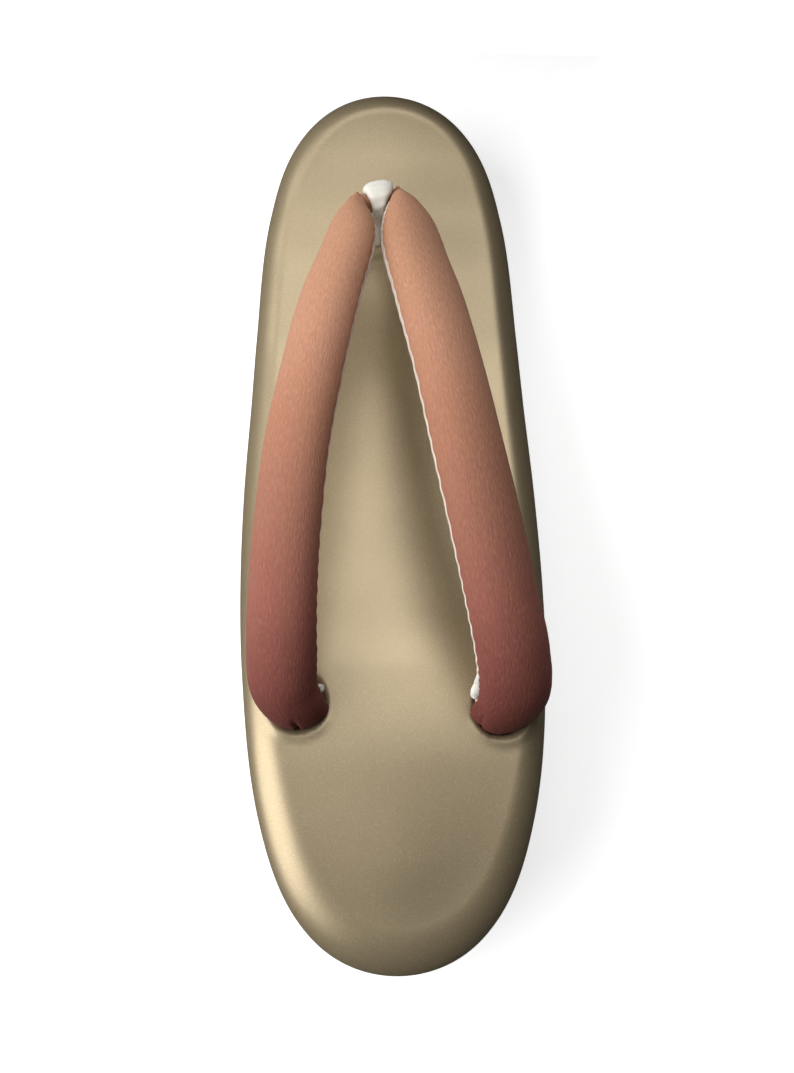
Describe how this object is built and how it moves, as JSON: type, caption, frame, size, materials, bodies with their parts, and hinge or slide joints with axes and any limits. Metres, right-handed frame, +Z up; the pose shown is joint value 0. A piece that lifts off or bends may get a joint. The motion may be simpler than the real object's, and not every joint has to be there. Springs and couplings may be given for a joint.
{
  "type": "zori sandal",
  "caption": "Formal zori sandal for the right foot: padded V straps with a white toe loop on a leather covered wedge sole with a rounded, pearl-gold footbed.",
  "frame": {"origin": "on the floor, under the middle of the sole", "axes": "+Z up, the toe points to -Y and the heel to +Y, +X is the big toe's side of this right sandal"},
  "size_m": [0.0792, 0.24, 0.0723],
  "materials": {
    "outsole": "matt, fine grain",
    "sole_leather": "pearl gold, soft sheen",
    "strap_crepe": "matt crepe, shading from peach to burgundy",
    "loop_velvet": "white velvet"
  },
  "bodies": {
    "root": {"outsole": "outsole", "platform": "sole_leather", "footbed": "sole_leather", "straps": "strap_crepe", "toe_loop": "loop_velvet"}
  },
  "joints": []
}
